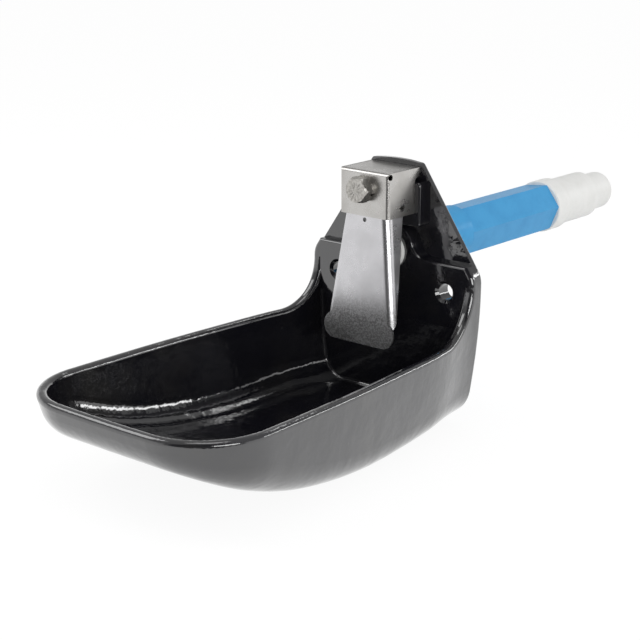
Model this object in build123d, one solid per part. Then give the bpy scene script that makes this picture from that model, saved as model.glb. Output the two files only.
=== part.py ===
from build123d import *
import math
import os

# A frost-proof drinking bowl for cattle and horses, fixed to a stable wall.
# X runs across the wall, Y into the wall and Z up, in millimetres. The origin lies on
# the wall's face, halfway between the two wall bolts.
#
# An animal pushes the tongue. It swings on its pin towards the wall and pushes a long
# rod through the insulated pipe. The rod lifts a disc off its seat in the valve
# housing, on the warm side of the wall, and water runs back along the pipe into the
# bowl. A spring closes the valve again, and the pipe drains empty.

# ---------------------------------------------------------------- clearances
running_clearance = 0.1     # radial, a shaft that turns or slides in its bore
fitting_clearance = 0.25    # radial, pieces that are pushed or screwed together
rest_gap = 0.3              # between pieces that meet only in use

# ---------------------------------------------------------------- bowl casting
bowl_length = 318.5
# Seen from above: share of the length, and half of the width there.
side_profile = ((0.0, 78.4), (0.045, 79.5), (0.16, 87.1), (0.31, 92.9), (0.47, 97.2),
                (0.69, 100.8), (1.0, 103.0))
front_bow = 3.0
front_corner_radius = 58.0
bowl_wall = 7.5
rim_width = 8.8
# Each station gives a height and how far the sides and the front draw in there: they
# stand upright at the shoulders and lean in towards the bottom.
side_stations = ((30.0, 0.0, 0.0), (-20.0, 0.3, 0.3), (-62.0, 4.9, 11.5), (-120.0, 15.8, 28.0))
outer_bottom_radius = 27.0
inner_bottom_radius = 20.0
floor_thickness = 10.5

# Seen from the side: share of the length, and height of the underside there.
bottom_profile = ((0.0, -100.0), (0.19, -102.2), (0.38, -104.8), (0.53, -102.2),
                  (0.69, -93.4), (0.835, -77.4), (1.0, -52.6))
rim_height_back = -30.4
rim_height_front = -33.5
rim_edge_radius = 3.4
shoulder_sweep_radius = 38.0

# Back plate, with a thin upper part above a ledge.
plate_thickness = 13.3
upper_plate_thickness = 6.0
plate_top = 94.6
plate_top_half_width = 23.4
plate_top_arch = 1.6
plate_top_corner = 3.0
shoulder_height = 31.4
shoulder_half_width = 67.3
shoulder_radius = 17.0
back_edge_radius = 2.5
ledge_height = 22.6
ledge_edge_radius = 2.0
bolt_spacing = 106.0
bolt_hole = 13.0
bolt_hole_lip = 2.2
back_relief_depth = 3.5
back_relief_border = 12.0
back_relief_bottom = -82.0
back_relief_corner = 8.0
wall_boss = 30.0
back_rib = 8.0
sleeve_ring = 5.0           # width of the ring round the sleeve's seat

# Pad that the hood seats on, and the boss round the outlet.
pad_half_width = 28.3
pad_top = 81.0
pad_bottom = 46.5
pad_corner = 3.0
pad_edge_radius = 1.5
outlet_height = 25.0
outlet_boss_radius = 22.5
outlet_boss_fillet = 12.0

# ---------------------------------------------------------------- hood and tongue
hood_sheet = 1.2
hood_half_width = 23.6
hood_front = 45.6
hood_top = 92.1
hood_bottom = 57.3
hood_bend = 2.8
hood_lip_height = 84.0      # above this the hood's sides reach back over the pad
hood_wall_gap = 0.4
hood_corner_hole = 4.4
hood_seam = 0.4
hood_bolt_height = 78.5
bolt_thread = 12.0
bolt_head_flats = 18.5
bolt_head_height = 7.5
bolt_wall_cover = 3.0       # casting left behind the end of the tapped hole
washer_thickness = 2.5
washer_diameter = 20.0
washer_split = 2.0

pin_diameter = 6.0
pin_bore = 3.6
pin_slot = 1.4
pin_setback = 29.2          # pin axis in front of the wall
pin_height = 64.2
pin_stand_out = 0.6
pin_bush_flange = 10.0
pin_bush_length = 3.0
pin_bush_wall = 1.2
bush_side_play = 0.2

tongue_sheet = 1.5
tongue_top_half_width = 21.5
tongue_top_setback = 44.0   # front face at the hood's lower edge
tongue_lean = 4.8           # degrees, the lower end stands further from the wall
tongue_flange_end = -22.0   # below this the tongue is a flat foot with round lobes
tongue_low_half_width = 32.4
foot_half_width = 34.3
foot_lobe_radius = 10.5
tongue_bottom = -41.7
tongue_face_top = 62.0      # the front face ends here, hidden in the hood
tongue_bend = 6.4
tongue_ear_radius = 6.7
tongue_flange_top = 17.9    # depth of the side flanges at the hood
tongue_flange_bottom = 5.8
tongue_hole = 3.4
tongue_hole_height = 54.2

# ---------------------------------------------------------------- pipe and sleeve
pipe_diameter = 21.3
pipe_wall = 2.6
pipe_stand_out = 12.0       # behind the sleeve
sleeve_radius = 21.6
sleeve_seat = 3.0           # how deep the sleeve stands in the casting
sleeve_round_length = 67.5
sleeve_length = 190.5       # behind the wall's face
sleeve_turn = -7.0          # degrees, as the hexagon is fitted
sleeve_land = 12.0
sleeve_hollow = 31.0
gasket_diameter = 41.0
gasket_thickness = 2.0
bush_flange = 29.0
bush_flange_thickness = 3.2
bush_length = 18.0
bush_slots = 4
bush_slot_width = 3.0
bush_slot_wall = 1.5        # left between the rod's bore and the slots
guide_shares = (0.325, 0.725)   # of the sleeve's length
guide_length = 8.0
guide_fins = 3
guide_fin_width = 2.4
guide_hub_wall = 1.6

# ---------------------------------------------------------------- valve housing
nut_radius = 22.1
nut_length = 17.5
nut_web = 3.5
housing_radius = 20.0
housing_reach = 65.5        # behind the sleeve
housing_neck_radius = 18.0
chamber_radius = 15.0
seat_gap = 0.5              # between the pipe's end and the seat
seat_length = 6.5
seat_radius = 13.0
seat_bore = 12.5
seat_lip = 1.5
seat_lip_width = 1.6
pipe_seal_section = 2.6
pipe_seal_setback = 5.5     # from the pipe's end
cap_radius = 16.2
cap_length = 32.0
cap_spigot = 12.0
cap_rounding = 6.0
cap_spring_bore = 8.6
cap_end_wall = 10.0
cap_seal_section = 2.0
cap_seal_setback = 6.0      # from the housing's end
spindle_seal_section = 1.8
inlet_setback = 24.0        # from the housing's end
inlet_turn = 24.0           # degrees below level, on the side away from the animal
inlet_boss_radius = 15.0
inlet_reach = 36.0
inlet_bore = 18.6           # core diameter of a half-inch pipe thread
inlet_thread_depth = 14.0
inlet_insert_diameter = 25.0
inlet_insert_length = 16.0
inlet_passage = 11.0

# ---------------------------------------------------------------- rod and valve
rod_diameter = 8.0
rod_spigot = 6.0
rod_spigot_length = 9.0
button_diameter = 15.0
button_head = 4.0
button_length = 12.0
button_crown = 2.0
button_hub = 12.0
button_nut_flats = 13.0
button_nut_thickness = 5.0
disc_diameter = 19.5
disc_thickness = 3.0
plunger_diameter = 21.0
plunger_thickness = 4.0
plunger_hub = 9.4
plunger_hub_length = 6.0
spindle_diameter = 5.4
spindle_stand_out = 5.0
spring_wire = 1.5
spring_coil = 12.6
spring_turns = 8.5
clip_thickness = 1.0
clip_diameter = 13.0
clip_groove = 0.8
clip_gap = 4.0
clip_stand_off = 0.5        # from the cap's end, with the valve closed

# ---------------------------------------------------------------- worked-out values
overrun = 20.0              # how far a block runs past the face that later cuts it
beyond = 2 * bowl_length    # reaches past every face of the casting
back_half_width = side_profile[0][1]
front_half_width = side_profile[-1][1]
tongue_slope = math.tan(math.radians(tongue_lean))
pipe_bore = pipe_diameter - 2 * pipe_wall
bush_radius = pin_diameter / 2 + running_clearance + pin_bush_wall
pipe_rear = sleeve_length + pipe_stand_out
seat_front = pipe_rear + seat_gap
disc_front = seat_front + seat_length
seat_step = disc_front - seat_lip
plunger_front = disc_front + disc_thickness
spring_front = plunger_front + plunger_thickness
housing_end = sleeve_length + housing_reach
cap_end = housing_end + cap_length
inlet_station = housing_end - inlet_setback
pipe_seal_station = pipe_rear - pipe_seal_setback
cap_seal_station = housing_end - cap_seal_setback
spindle_seal_station = cap_end - cap_end_wall / 2
spindle_end = cap_end + spindle_stand_out
gasket_front = -sleeve_seat - gasket_thickness
cap_inner_end = cap_end - cap_end_wall
spring_end = cap_inner_end
clip_station = cap_end + clip_stand_off
button_front = -(tongue_top_setback + tongue_slope * (hood_bottom - outlet_height)) + tongue_sheet + rest_gap


def along_pipe(distance):
    """A plane across the pipe's axis, at one distance from the wall's face."""
    return Plane(origin=(0, distance, outlet_height), x_dir=(1, 0, 0), z_dir=(0, 1, 0))


def disc_on_pipe(radius, start, end):
    """A round solid on the pipe's axis, between two distances from the wall's face."""
    return extrude(along_pipe(start) * Circle(radius), end - start)


def ring_on_pipe(outer, inner, start, end):
    """A ring on the pipe's axis, between two distances from the wall's face."""
    return disc_on_pipe(outer, start, end) - disc_on_pipe(inner, start - 1, end + 1)


def seal_ring(inner_radius, section, station):
    """An O-ring on the pipe's axis."""
    return along_pipe(station) * Torus(inner_radius + running_clearance + section / 2, section / 2)


def slab(low, high):
    """A block between two corners."""
    size = [b - a for a, b in zip(low, high)]
    centre = [(a + b) / 2 for a, b in zip(low, high)]
    return Location(tuple(centre)) * Box(*size)


# ================================================================ bowl casting
def plan_outline(height, inset, front_inset, corner):
    """The bowl's outline at one height. It runs past the wall's face, to be cut there."""
    length = bowl_length - front_inset
    side = [(half - inset, -share * length) for share, half in side_profile]
    side = [(side[0][0], overrun)] + side
    front = side[-1][0]
    with BuildSketch(Plane.XY.offset(height)) as section:
        with BuildLine():
            Spline(*side)
            ThreePointArc((front, -length), (0, -length - front_bow), (-front, -length))
            Spline(*[(-across, along) for across, along in side])
            Line((-side[0][0], overrun), (side[0][0], overrun))
        make_face()
        fillet(section.vertices().sort_by(Axis.Y)[:2], corner)
    return section.sketch


def bowl_form(rim_inset, inset, floor, bottom_radius):
    """The bowl as a block, drawn in by insets at the rim, at the sides and at the floor."""
    insets = (rim_inset, rim_inset, inset, inset)
    sides = loft([plan_outline(height, draw_in + extra, front_draw + extra, front_corner_radius - extra)
                  for (height, draw_in, front_draw), extra in zip(side_stations, insets)])
    curve = [(-share * bowl_length, height + floor) for share, height in bottom_profile]
    curve = [(overrun, curve[0][1] + 2.0)] + curve
    far = -bowl_length - overrun
    slope = (curve[-1][1] - curve[-2][1]) / (curve[-1][0] - curve[-2][0])
    curve = curve + [(far, curve[-1][1] + slope * (far - curve[-1][0]))]
    top = side_stations[0][0]
    with BuildSketch(Plane.YZ) as side:
        with BuildLine():
            Spline(*curve)
            Polyline(curve[-1], (far, top), (overrun, top), curve[0])
        make_face()
    block = sides & extrude(side.sketch, bowl_length, both=True)
    return fillet(block.edges().filter_by(is_bottom_edge), bottom_radius)


def is_bottom_edge(edge):
    """True for the edges where the bowl's bottom meets its sides."""
    box = edge.bounding_box()
    on_back = box.min.Y > overrun - 0.5
    return box.max.Z < side_stations[1][0] and not on_back


def side_limit():
    """Everything below the rim and behind its sweep up to the shoulders, as a block."""
    sweep = shoulder_sweep_radius
    diagonal = sweep * (1 - math.sqrt(0.5))
    top = side_stations[0][0] + overrun
    start = (-plate_thickness, rim_height_back + sweep)
    middle = (-plate_thickness - diagonal, rim_height_back + diagonal)
    end = (-plate_thickness - sweep, rim_height_back)
    far = -bowl_length - overrun
    with BuildSketch(Plane.YZ) as side:
        with BuildLine():
            Polyline((overrun, -beyond), (overrun, top), (-plate_thickness, top), start)
            ThreePointArc(start, middle, end)
            Polyline(end, (far, rim_height_front), (far, -beyond), (overrun, -beyond))
        make_face()
    return extrude(side.sketch, front_half_width * 2, both=True)


def is_rim_edge(edge):
    """True for the long edges of the rim and of its sweep up to the shoulders."""
    box = edge.bounding_box()
    on_rim = box.min.Z > rim_height_front - 1
    on_cut = box.max.Y < -plate_thickness + 0.1
    across = edge.geom_type == GeomType.LINE and abs((edge % 0.5).X) > 0.9
    return on_rim and on_cut and not across


def back_plate(hull):
    """The plate: the bowl's own outline below, an arched top and slanting sides above."""
    slope = (plate_top - shoulder_height) / (shoulder_half_width - plate_top_half_width)
    wide = front_half_width
    low = plate_top - (wide - plate_top_half_width) * slope
    top = plate_top_half_width
    with BuildSketch(Plane.XZ) as front:
        with BuildLine():
            ThreePointArc((-top, plate_top), (0, plate_top + plate_top_arch), (top, plate_top))
            Polyline((top, plate_top), (wide, low), (wide, -beyond), (-wide, -beyond), (-wide, low), (-top, plate_top))
        make_face()
    plate = extrude(front.sketch, plate_thickness)
    hull_top = side_stations[0][0]
    plate = (plate & hull) + (plate & slab((-wide, -beyond, hull_top), (wide, beyond, beyond)))
    corners = plate.edges().filter_by(is_plate_corner).sort_by(Axis.Z)
    plate = fillet(corners[:2], shoulder_radius)
    corners = plate.edges().filter_by(is_plate_corner).sort_by(Axis.Z)
    plate = fillet(corners[-2:], plate_top_corner)
    return fillet(plate.edges().group_by(Axis.Y)[-1], back_edge_radius)


def is_plate_corner(edge):
    """True for the edges through the plate's thickness, at its shoulders and its top."""
    middle = edge @ 0.5
    return -plate_thickness + 1 < middle.Y < -1 and middle.Z > rim_height_back


def with_shoulders(plate, bowl):
    """The plate with the rim's outer rounding carried on round its shoulders to the ledge."""
    sweep_top = rim_height_back + shoulder_sweep_radius
    middle = back_half_width - rim_width + 2.0
    lower = plate & slab((-beyond, -beyond, -beyond), (beyond, beyond, sweep_top))
    lower = lower & (bowl + slab((-middle, -plate_thickness, -beyond), (middle, overrun, sweep_top)))
    shoulders = plate & slab((-beyond, -beyond, sweep_top), (beyond, beyond, ledge_height))
    shoulders = fillet(shoulders.edges().filter_by(is_shoulder_edge), rim_edge_radius)
    upper = plate & slab((-beyond, -beyond, ledge_height), (beyond, beyond, beyond))
    return lower + shoulders + upper


def is_shoulder_edge(edge):
    """True for the upright edges of the plate's front face."""
    box = edge.bounding_box()
    on_front = box.max.Y < -plate_thickness + 0.1
    return on_front and box.max.Z - box.min.Z > 1 and abs((edge @ 0.5).X) > shoulder_half_width / 2


def ledge_block():
    """The plate's thick part up to the ledge and round the outlet, its upper front edge rounded."""
    with BuildSketch(Plane.XZ) as outline:
        with Locations((0, ledge_height - beyond / 2)):
            Rectangle(beyond, beyond)
        with Locations((0, outlet_height)):
            Circle(outlet_boss_radius)
        inner = [vertex for vertex in outline.vertices() if abs(vertex.X) < outlet_boss_radius + 1]
        fillet(inner, outlet_boss_fillet)
    block = extrude(outline.sketch, plate_thickness)
    front = block.faces().sort_by(Axis.Y)[0]
    upper = [edge for edge in front.edges() if edge.bounding_box().min.Z > ledge_height - 1]
    return fillet(upper, ledge_edge_radius)


def hood_pad():
    """The raised pad that the hood is bolted to."""
    face = Plane.XZ * Pos(0, (pad_top + pad_bottom) / 2) * RectangleRounded(
        pad_half_width * 2, pad_top - pad_bottom, pad_corner)
    pad = extrude(face, plate_thickness)
    return fillet(pad.faces().sort_by(Axis.Y)[0].edges(), pad_edge_radius)


def back_relief():
    """Shallow cored areas on the wall side, between border, bosses and ribs."""
    border = back_relief_border
    half = back_half_width - border
    with BuildSketch(Plane.XZ) as relief:
        with BuildLine():
            Polyline((-half + 14, back_relief_bottom), (-half, -30), (-half, 4), (-pad_half_width, 62),
                     (pad_half_width, 62), (half, 4), (half, -30), (half - 14, back_relief_bottom), close=True)
        make_face()
        fillet(relief.vertices(), back_relief_corner)
        with Locations((-bolt_spacing / 2, 0), (bolt_spacing / 2, 0)):
            Circle(wall_boss / 2, mode=Mode.SUBTRACT)
        with Locations((0, outlet_height)):
            Circle(sleeve_radius + sleeve_ring, mode=Mode.SUBTRACT)
        with Locations((0, 0)):
            Rectangle(back_rib, beyond, mode=Mode.SUBTRACT)
            Rectangle(beyond, back_rib, mode=Mode.SUBTRACT)
    return extrude(relief.sketch, back_relief_depth)


def bowl_casting():
    """Bowl, back plate, hood pad and outlet boss, cast in one."""
    outer = bowl_form(0.0, 0.0, 0.0, outer_bottom_radius)
    inner = bowl_form(rim_width, bowl_wall, floor_thickness, inner_bottom_radius)
    bowl = (outer & side_limit()) - inner
    bowl = fillet(bowl.edges().filter_by(is_rim_edge), rim_edge_radius)
    plate = with_shoulders(back_plate(outer), bowl)
    bowl = bowl & slab((-beyond, -beyond, -beyond), (beyond, -plate_thickness, beyond))

    thin = slab((-beyond, -upper_plate_thickness, -beyond), (beyond, overrun, beyond))
    plate = (plate & thin) + (plate & ledge_block()) + hood_pad()
    body = bowl + plate

    holes = []
    for side in (-1, 1):
        face = facing_back(side * bolt_spacing / 2, -plate_thickness, 0)
        holes.append(extrude(face * Circle(bolt_hole / 2), plate_thickness * 2, both=True))
        holes.append(face * Cone(bolt_hole / 2 + bolt_hole_lip, bolt_hole / 2, bolt_hole_lip,
                                 align=(Align.CENTER, Align.CENTER, Align.MIN)))
    body = body - holes
    body = body - disc_on_pipe(pipe_diameter / 2 + fitting_clearance, -40, 10)
    body = body - disc_on_pipe(sleeve_radius + fitting_clearance, gasket_front, 10)
    tapped = facing_back(0, -bolt_wall_cover, hood_bolt_height)
    body = body - extrude(tapped * Circle(bolt_thread / 2), -30)
    return body - back_relief()


# ================================================================ hood
def hood_block(inset):
    """The hood as a block, drawn in by the sheet's thickness for its hollow."""
    half = hood_half_width - inset
    block = slab((-half, -hood_front + inset, 0), (half, overrun, hood_top - inset))
    front = block.faces().sort_by(Axis.Y)[0]
    bends = front.edges().sort_by(Axis.Z)[1:]
    return fillet(bends, hood_bend - inset)


def valve_hood():
    """Folded sheet hood over the tongue's pivot, open at the bottom and at the back."""
    hood = hood_block(0.0) - hood_block(hood_sheet)
    wide = hood_half_width + 5
    hood = hood & slab((-wide, -beyond, hood_bottom), (wide, -upper_plate_thickness - hood_wall_gap, beyond))
    step = (hood_lip_height - 2, hood_lip_height + 4)
    back = -upper_plate_thickness - 4 * hood_wall_gap
    with BuildSketch(Plane.YZ) as rear:
        with BuildLine():
            Polyline((-plate_thickness, step[0]), (-plate_thickness, 0), (5, 0), (5, step[1]), (back, step[1]))
            Bezier((back, step[1]), (back, step[1] - 3), (-plate_thickness, step[0] + 3), (-plate_thickness, step[0]))
        make_face()
    hood = hood - extrude(rear.sketch, wide, both=True)
    for side in (-1, 1):
        seam = side * (hood_half_width - hood_sheet - hood_seam / 2)
        hood = hood - slab((seam - hood_seam / 2, -hood_front + hood_bend, hood_top - 2 * hood_sheet),
                           (seam + hood_seam / 2, 0, hood_top + 1))
        relief = Plane(origin=(side * hood_half_width, -hood_front + hood_bend, hood_top - hood_bend),
                       z_dir=(side, -0.35, 0.35))
        hood = hood - extrude(relief * Circle(hood_corner_hole / 2), 4, both=True)
    bolt = facing_back(0, -hood_front, hood_bolt_height)
    hood = hood - extrude(bolt * Circle(bolt_hole / 2), 5, both=True)
    return hood - pin_bar(pin_diameter / 2 + running_clearance, hood_half_width + 5)


def facing_back(across, along, height):
    """A plane that faces the wall, at one point."""
    return Plane(origin=(across, along, height), x_dir=(1, 0, 0), z_dir=(0, 1, 0))


def pin_bar(radius, reach):
    """A round bar on the tongue's pivot axis, reaching equally far to both sides."""
    axis = Plane(origin=(0, -pin_setback, pin_height), x_dir=(0, 1, 0), z_dir=(1, 0, 0))
    return extrude(axis * Circle(radius), reach, both=True)


def hood_bolt():
    """Hexagon bolt that holds the hood against its pad."""
    under = -hood_front - washer_thickness
    head = facing_back(0, under - bolt_head_height, hood_bolt_height)
    across_corners = bolt_head_flats / math.cos(math.radians(30))
    hexagon = extrude(head * RegularPolygon(across_corners / 2, 6), bolt_head_height)
    crown = head * Cone(across_corners / 2 - 1.6, across_corners / 2 + 6.5, bolt_head_height * 1.9,
                        align=(Align.CENTER, Align.CENTER, Align.MIN))
    shank_end = -bolt_wall_cover - 0.5
    shank = extrude(facing_back(0, under, hood_bolt_height) * Circle(bolt_thread / 2 - fitting_clearance),
                    shank_end - under)
    shank = chamfer(shank.edges().sort_by(Axis.Y)[-1], 1.0)
    return (hexagon & crown) + shank


def lock_washer():
    """Split spring washer under the bolt's head."""
    seat = facing_back(0, -hood_front - washer_thickness, hood_bolt_height)
    ring = Circle(washer_diameter / 2) - Circle(bolt_thread / 2 + fitting_clearance)
    gap = Rot(0, 0, 20) * Pos(washer_diameter / 2, 0) * Rectangle(washer_diameter, washer_split)
    return extrude(seat * (ring - gap), washer_thickness)


def pivot_pin():
    """Slotted spring pin that the tongue hangs on, pressed into the hood's sides."""
    reach = hood_half_width + pin_stand_out
    pin = pin_bar(pin_diameter / 2, reach) - pin_bar(pin_bore / 2, reach + 1)
    slot = slab((-reach - 1, -pin_setback - pin_diameter, pin_height - pin_slot / 2),
                (reach + 1, -pin_setback, pin_height + pin_slot / 2))
    return pin - slot


# ================================================================ tongue
def tongue_face():
    """A plane on the tongue's leaning front, at the height of the hood's lower edge."""
    lean = math.radians(tongue_lean)
    return Plane(origin=(0, -tongue_top_setback, hood_bottom), x_dir=(1, 0, 0),
                 z_dir=(0, -math.cos(lean), math.sin(lean)))


def tongue_block(inset):
    """The tongue above its foot as a leaning block, drawn in by the sheet for its hollow."""
    above = pin_height + tongue_ear_radius - hood_bottom + 10
    below = hood_bottom - tongue_flange_end
    widening = (tongue_low_half_width - tongue_top_half_width) / below
    end = below + 30
    wide = tongue_top_half_width + widening * end
    top = tongue_top_half_width
    with BuildSketch() as front:
        with BuildLine():
            Polyline((top - inset, above), (top - inset, 0), (wide - inset, -end),
                     (-wide + inset, -end), (-top + inset, 0), (-top + inset, above), close=True)
        make_face()
    block = extrude(tongue_face().offset(-inset) * front.sketch, -2 * tongue_flange_top)
    front_edges = block.faces().sort_by(Axis.Y)[0].edges()
    sides = front_edges.filter_by(lambda edge: abs((edge @ 0.5).X) > 5)
    return fillet(sides, tongue_bend - inset)


def tongue():
    """Pressed sheet tongue: a broad flat foot, side flanges and two ears on the pin."""
    shell = tongue_block(0.0) - tongue_block(tongue_sheet)
    ear = tongue_ear_radius
    ahead = -tongue_top_setback - 30
    low_face = -tongue_top_setback - tongue_slope * (hood_bottom - tongue_flange_end)
    with BuildSketch(Plane.YZ) as side:
        with BuildLine():
            Polyline((ahead, tongue_flange_end - 5), (ahead, tongue_face_top), (-pin_setback - ear, tongue_face_top),
                     (-pin_setback - ear, pin_height), (-pin_setback + ear, pin_height),
                     (-tongue_top_setback + tongue_flange_top, hood_bottom - 5),
                     (low_face + tongue_flange_bottom, tongue_flange_end),
                     (low_face + tongue_sheet, tongue_flange_end - 5), close=True)
        make_face()
        with Locations((-pin_setback, pin_height)):
            Circle(ear)
    shell = shell & extrude(side.sketch, foot_half_width * 2, both=True)
    drop = (hood_bottom - tongue_bottom) / math.cos(math.radians(tongue_lean)) - foot_lobe_radius
    with BuildSketch() as foot:
        with Locations((foot_half_width - foot_lobe_radius, -drop), (foot_lobe_radius - foot_half_width, -drop)):
            Circle(foot_lobe_radius)
        with Locations((0, -drop)):
            Rectangle((foot_half_width - foot_lobe_radius) * 2, foot_lobe_radius * 2)
        with Locations((0, -drop + foot_lobe_radius)):
            Rectangle((tongue_low_half_width - tongue_bend) * 2, foot_lobe_radius * 2)
    shell = shell + extrude(tongue_face() * foot.sketch, -tongue_sheet)
    shell = shell - pin_bar(bush_radius + fitting_clearance, hood_half_width)
    hole = facing_back(0, -tongue_top_setback, tongue_hole_height)
    return shell - extrude(hole * Circle(tongue_hole / 2), 5, both=True)


def pivot_bush(side):
    """Flanged bush in one ear of the tongue. It turns on the pin."""
    flange = hood_half_width - hood_sheet - tongue_top_half_width - 2 * bush_side_play
    start = tongue_top_half_width + bush_side_play + flange
    axis = Plane(origin=(side * start, -pin_setback, pin_height), x_dir=(0, 1, 0), z_dir=(-side, 0, 0))
    bush = extrude(axis * Circle(pin_bush_flange / 2), flange)
    bush = bush + extrude(axis * Circle(bush_radius), pin_bush_length)
    return bush - pin_bar(pin_diameter / 2 + running_clearance, hood_half_width)


# ================================================================ outlet and pipe
def outlet_bush():
    """Slotted bush in the pipe's front end. The rod slides in it and water runs past."""
    front = -plate_thickness - bush_flange_thickness
    body = disc_on_pipe(bush_flange / 2, front, -plate_thickness)
    body = fillet(body.edges().sort_by(Axis.Y)[0], 1.0)
    body = body + disc_on_pipe(pipe_bore / 2 - fitting_clearance, front + 1, front + bush_length)
    body = body - disc_on_pipe(rod_diameter / 2 + running_clearance, front - 1, front + bush_length + 1)
    inner = rod_diameter / 2 + bush_slot_wall
    for number in range(bush_slots):
        turn = Rot(0, 0, number * 360 / bush_slots + 45)
        slot = turn * Pos((inner + pipe_bore / 2) / 2, 0) * Rectangle(pipe_bore / 2 - inner, bush_slot_width)
        body = body - extrude(along_pipe(front - 1) * slot, bush_length + 2)
    return body


def pipe_gasket():
    """Flat gasket in the casting's recess, pressed on by the sleeve."""
    return ring_on_pipe(gasket_diameter / 2, pipe_diameter / 2 + fitting_clearance, gasket_front, -sleeve_seat)


def hex_sleeve():
    """Insulating sleeve through the wall: round at the bowl, a hexagon behind."""
    sleeve = disc_on_pipe(sleeve_radius, -sleeve_seat, sleeve_round_length)
    hexagon = Rot(0, 0, sleeve_turn) * RegularPolygon(sleeve_radius, 6)
    sleeve = sleeve + extrude(along_pipe(sleeve_round_length) * hexagon, sleeve_length - sleeve_round_length)
    sleeve = sleeve - disc_on_pipe(pipe_diameter / 2 + fitting_clearance, -sleeve_seat - 1, sleeve_length + 1)
    return sleeve - disc_on_pipe(sleeve_hollow / 2, sleeve_land, sleeve_length - sleeve_land)


def water_pipe():
    """Half-inch steel pipe from the valve housing to the bowl."""
    return ring_on_pipe(pipe_diameter / 2, pipe_bore / 2, -plate_thickness, pipe_rear)


def rod_guide(station):
    """Star-shaped guide that keeps the rod in the middle of the pipe."""
    hub = rod_diameter / 2 + running_clearance + guide_hub_wall
    star = Circle(hub)
    reach = pipe_bore / 2 - fitting_clearance
    for number in range(guide_fins):
        turn = Rot(0, 0, 90 + number * 360 / guide_fins)
        star = star + turn * Pos((hub + reach) / 2 - 1, 0) * Rectangle(reach - hub + 2, guide_fin_width)
    star = star & Circle(reach)
    star = star - Circle(rod_diameter / 2 + running_clearance)
    return extrude(along_pipe(station - guide_length / 2) * star, guide_length)


# ================================================================ valve housing
def union_nut():
    """Round nut that draws the housing onto the pipe's end."""
    start, end = sleeve_length, sleeve_length + nut_length
    nut = chamfer(disc_on_pipe(nut_radius, start, end).edges(), 0.8)
    nut = nut - disc_on_pipe(pipe_diameter / 2 + fitting_clearance, start - 1, end + 1)
    return nut - disc_on_pipe(housing_neck_radius + fitting_clearance, start + nut_web, end + 1)


def valve_housing():
    """Plastic housing of the valve, with the inlet boss on its side."""
    front = sleeve_length + nut_web + rest_gap
    shoulder = sleeve_length + nut_length + rest_gap
    body = disc_on_pipe(housing_neck_radius, front, shoulder + 1) + disc_on_pipe(housing_radius, shoulder, housing_end)
    body = body + extrude(on_inlet(0) * Circle(inlet_boss_radius), inlet_reach)
    body = body - disc_on_pipe(pipe_diameter / 2 + fitting_clearance, front - 1, seat_front)
    groove = pipe_seal_section + 2 * running_clearance
    body = body - disc_on_pipe(pipe_diameter / 2 + groove, pipe_seal_station - groove / 2,
                               pipe_seal_station + groove / 2)
    body = body - disc_on_pipe(seat_radius + fitting_clearance, seat_front - fitting_clearance, seat_step)
    body = body - disc_on_pipe(chamber_radius, seat_step, housing_end + 1)
    pocket = inlet_reach - inlet_insert_length
    body = body - extrude(on_inlet(pocket - fitting_clearance) * Circle(inlet_insert_diameter / 2 + fitting_clearance),
                          inlet_insert_length + 5)
    return body - extrude(on_inlet(chamber_radius - 5) * Circle(inlet_passage / 2), inlet_reach)


def on_inlet(distance):
    """A plane across the inlet's axis, at one distance from the pipe's axis."""
    turn = math.radians(inlet_turn)
    out = Vector(-math.cos(turn), 0, -math.sin(turn))
    return Plane(origin=Vector(0, inlet_station, outlet_height) + out * distance, x_dir=(0, 1, 0), z_dir=out)


def inlet_insert():
    """Brass insert with the pipe thread for the water supply."""
    start = inlet_reach - inlet_insert_length
    body = extrude(on_inlet(start) * Circle(inlet_insert_diameter / 2), inlet_insert_length)
    body = body - extrude(on_inlet(inlet_reach - inlet_thread_depth) * Circle(inlet_bore / 2), inlet_thread_depth + 1)
    return body - extrude(on_inlet(start - 1) * Circle(inlet_passage / 2), inlet_insert_length)


def valve_seat():
    """Brass seat with a raised lip for the valve disc."""
    seat = disc_on_pipe(seat_radius, seat_front, seat_step)
    seat = seat + disc_on_pipe(seat_bore / 2 + seat_lip_width, seat_step - 1, disc_front)
    return seat - disc_on_pipe(seat_bore / 2, seat_front - 1, disc_front + 1)


def end_cap():
    """Cap of the housing. It guides the spindle and carries the spring's rear end."""
    cap = disc_on_pipe(cap_radius, housing_end, cap_end)
    cap = fillet(cap.edges().sort_by(Axis.Y)[-1], cap_rounding)
    cap = cap + disc_on_pipe(chamber_radius - fitting_clearance, housing_end - cap_spigot, housing_end + 1)
    cap = cap - disc_on_pipe(cap_spring_bore, housing_end - cap_spigot - 1, cap_inner_end)
    cap = cap - disc_on_pipe(spindle_diameter / 2 + running_clearance, cap_inner_end - 1, cap_end + 1)
    groove = spindle_seal_section + 2 * running_clearance
    cap = cap - disc_on_pipe(spindle_diameter / 2 + groove, spindle_seal_station - groove / 2,
                             spindle_seal_station + groove / 2)
    groove = cap_seal_section + 2 * running_clearance
    return cap - ring_on_pipe(chamber_radius + 1, chamber_radius - groove, cap_seal_station - groove / 2,
                              cap_seal_station + groove / 2)


# ================================================================ rod and valve
def push_rod():
    """Rod from the push button to the valve disc, with a spigot for disc and plunger."""
    front = button_front + button_head
    rod = disc_on_pipe(rod_diameter / 2, front, disc_front)
    return rod + disc_on_pipe(rod_spigot / 2, disc_front - 1, disc_front + rod_spigot_length)


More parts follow.
